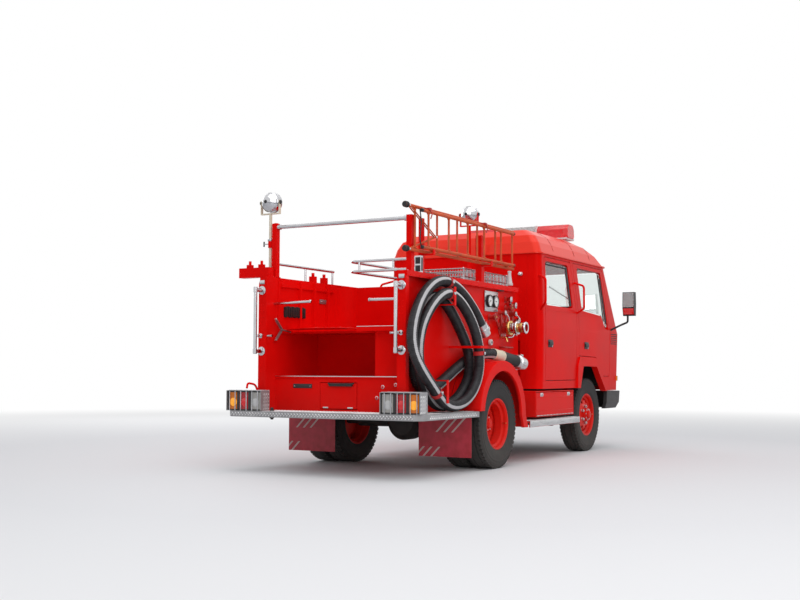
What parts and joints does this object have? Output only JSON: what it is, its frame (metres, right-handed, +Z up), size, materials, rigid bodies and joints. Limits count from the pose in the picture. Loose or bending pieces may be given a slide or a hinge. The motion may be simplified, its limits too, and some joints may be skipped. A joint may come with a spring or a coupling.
{
  "type": "fire engine",
  "caption": "Small double-cab fire engine with a hose coil on the side, roof ladder, light bar, pump outlets, rear step, steering, opening doors, hatches and tilting lamps.",
  "frame": {"origin": "on the ground under the middle of the overall length and width", "axes": "+X forward along the length, +Y to the vehicle's left, +Z up"},
  "size_m": [4.9698, 2.24, 2.473],
  "materials": {
    "red_paint": "gloss",
    "red_rim": "gloss",
    "black_frame": "satin",
    "tyre": "matt",
    "cast_parts": "matt",
    "spring_steel": "satin",
    "window_glass": "clear",
    "chrome": "polished",
    "tread_plate": "chequered",
    "black_plastic": "grained",
    "lamp_clear": "clear",
    "lamp_red": "clear",
    "hose_rubber": "ribbed, white stripe",
    "red_flap": "translucent, striped",
    "seat_vinyl": "matt",
    "ladder_paint": "gloss",
    "fittings": "bright",
    "tank_paint": "satin"
  },
  "bodies": {
    "chassis": {"chassis_frame": "black_frame", "powertrain": "cast_parts", "axles": "cast_parts", "leaf_springs": "spring_steel", "fuel_tank": "tank_paint", "cab_sides": "red_paint", "cab_front": "red_paint", "windshield": "window_glass", "front_lamps": "lamp_clear", "cab_back": "red_paint", "cab_floor": "red_paint", "cab_roof": "red_paint", "seat_cushions": "seat_vinyl", "dashboard": "black_plastic", "bumper": "black_plastic", "lockers_and_steps": "tread_plate", "mirrors": "black_plastic", "light_bar": "black_plastic", "light_bar_lenses": "lamp_red", "body_sides": "red_paint", "body_tub": "red_paint", "rear_panel": "red_paint", "rear_step": "tread_plate", "rear_fenders": "red_paint", "mud_flaps": "red_flap", "tail_lenses": "lamp_red", "bright_rails": "chrome", "posts": "red_paint", "ladder": "ladder_paint", "deck_baskets": "chrome", "pump_panel": "fittings", "suction_hose": "hose_rubber", "hose_couplings": "fittings"},
    "steering_wheel": {"steering_wheel": "black_plastic"},
    "knuckle_left": {"knuckle_left": "cast_parts"},
    "knuckle_right": {"knuckle_right": "cast_parts"},
    "track_rod": {"track_rod": "cast_parts"},
    "wheel_front_left": {"front_tyre_left": "tyre", "front_rim_left": "red_rim"},
    "wheel_front_right": {"front_tyre_right": "tyre", "front_rim_right": "red_rim"},
    "wheel_rear_left": {"rear_tyres_left": "tyre", "rear_rims_left": "red_rim"},
    "wheel_rear_right": {"rear_tyres_right": "tyre", "rear_rims_right": "red_rim"},
    "door_front_left": {"door_front_left": "red_paint", "glass_front_left": "window_glass"},
    "door_front_right": {"door_front_right": "red_paint", "glass_front_right": "window_glass"},
    "door_rear_left": {"door_rear_left": "red_paint", "glass_rear_left": "window_glass"},
    "door_rear_right": {"door_rear_right": "red_paint", "glass_rear_right": "window_glass"},
    "rear_hatch": {"rear_hatch": "red_paint"},
    "locker_flap_left": {"locker_flap_left": "tread_plate"},
    "locker_flap_right": {"locker_flap_right": "tread_plate"},
    "folding_shelf": {"folding_shelf": "red_paint"},
    "light_mast": {"light_mast": "chrome"},
    "mast_lamp": {"mast_lamp": "chrome"},
    "deck_lamp": {"deck_lamp": "chrome"}
  },
  "joints": [
    {"name": "steering_turn", "type": "hinge", "parent": "chassis", "child": "steering_wheel", "pos_m": [1.786, -0.48, 1.4], "axis": [-0.4618, 0, 0.887], "range_deg": [-540, 540]},
    {"name": "steer_left", "type": "hinge", "parent": "chassis", "child": "knuckle_left", "pos_m": [1.486, 0.6, 0.3875], "axis": [0, 0, 1], "range_deg": [-35, 35]},
    {"name": "steer_right", "type": "hinge", "parent": "chassis", "child": "knuckle_right", "pos_m": [1.486, -0.6, 0.3875], "axis": [0, 0, 1], "range_deg": [-35, 35]},
    {"name": "track_rod_pin", "type": "hinge", "parent": "knuckle_right", "child": "track_rod", "pos_m": [1.336, -0.6, 0.352], "axis": [0, 0, 1], "range_deg": [-35, 35]},
    {"name": "spin_front_left", "type": "hinge", "parent": "knuckle_left", "child": "wheel_front_left", "pos_m": [1.486, 0.715, 0.3875], "axis": [0, 1, 0], "continuous": true},
    {"name": "spin_front_right", "type": "hinge", "parent": "knuckle_right", "child": "wheel_front_right", "pos_m": [1.486, -0.715, 0.3875], "axis": [0, 1, 0], "continuous": true},
    {"name": "spin_rear_left", "type": "hinge", "parent": "chassis", "child": "wheel_rear_left", "pos_m": [-1.014, 0.717, 0.3875], "axis": [0, 1, 0], "continuous": true},
    {"name": "spin_rear_right", "type": "hinge", "parent": "chassis", "child": "wheel_rear_right", "pos_m": [-1.014, -0.717, 0.3875], "axis": [0, 1, 0], "continuous": true},
    {"name": "door_front_left_swing", "type": "hinge", "parent": "chassis", "child": "door_front_left", "pos_m": [2.091, 0.85, 1.35], "axis": [0, 0, -1], "range_deg": [0, 65]},
    {"name": "door_front_right_swing", "type": "hinge", "parent": "chassis", "child": "door_front_right", "pos_m": [2.091, -0.85, 1.35], "axis": [0, 0, 1], "range_deg": [0, 65]},
    {"name": "door_rear_left_swing", "type": "hinge", "parent": "chassis", "child": "door_rear_left", "pos_m": [1.071, 0.85, 1.35], "axis": [0, 0, -1], "range_deg": [0, 65]},
    {"name": "door_rear_right_swing", "type": "hinge", "parent": "chassis", "child": "door_rear_right", "pos_m": [1.071, -0.85, 1.35], "axis": [0, 0, 1], "range_deg": [0, 65]},
    {"name": "hatch_swing", "type": "hinge", "parent": "chassis", "child": "rear_hatch", "pos_m": [-2.188, 0, 0.532], "axis": [0, -1, 0], "range_deg": [0, 85]},
    {"name": "locker_flap_left_swing", "type": "hinge", "parent": "chassis", "child": "locker_flap_left", "pos_m": [0.42, 0.866, 0.427], "axis": [-1, 0, 0], "range_deg": [0, 90]},
    {"name": "locker_flap_right_swing", "type": "hinge", "parent": "chassis", "child": "locker_flap_right", "pos_m": [0.42, -0.866, 0.427], "axis": [1, 0, 0], "range_deg": [0, 90]},
    {"name": "shelf_fold", "type": "hinge", "parent": "chassis", "child": "folding_shelf", "pos_m": [-1.971, 0.27, 1.204], "axis": [0, 1, 0], "range_deg": [0, 90]},
    {"name": "mast_slide", "type": "slide", "parent": "chassis", "child": "light_mast", "axis": [0, 0, 1], "range_m": [0, 0.22]},
    {"name": "mast_lamp_tilt", "type": "hinge", "parent": "light_mast", "child": "mast_lamp", "pos_m": [-2.164, 0.722, 2.3], "axis": [0, 1, 0], "range_deg": [-45, 60]},
    {"name": "deck_lamp_tilt", "type": "hinge", "parent": "chassis", "child": "deck_lamp", "pos_m": [-0.089, -0.173, 2.389], "axis": [0, 1, 0], "range_deg": [-45, 60]}
  ],
  "couplings": [
    {"joint": "steer_left", "follows": "steering_turn", "ratio": 0.064815},
    {"joint": "steer_right", "follows": "steering_turn", "ratio": 0.064815},
    {"joint": "track_rod_pin", "follows": "steering_turn", "ratio": -0.064815}
  ]
}
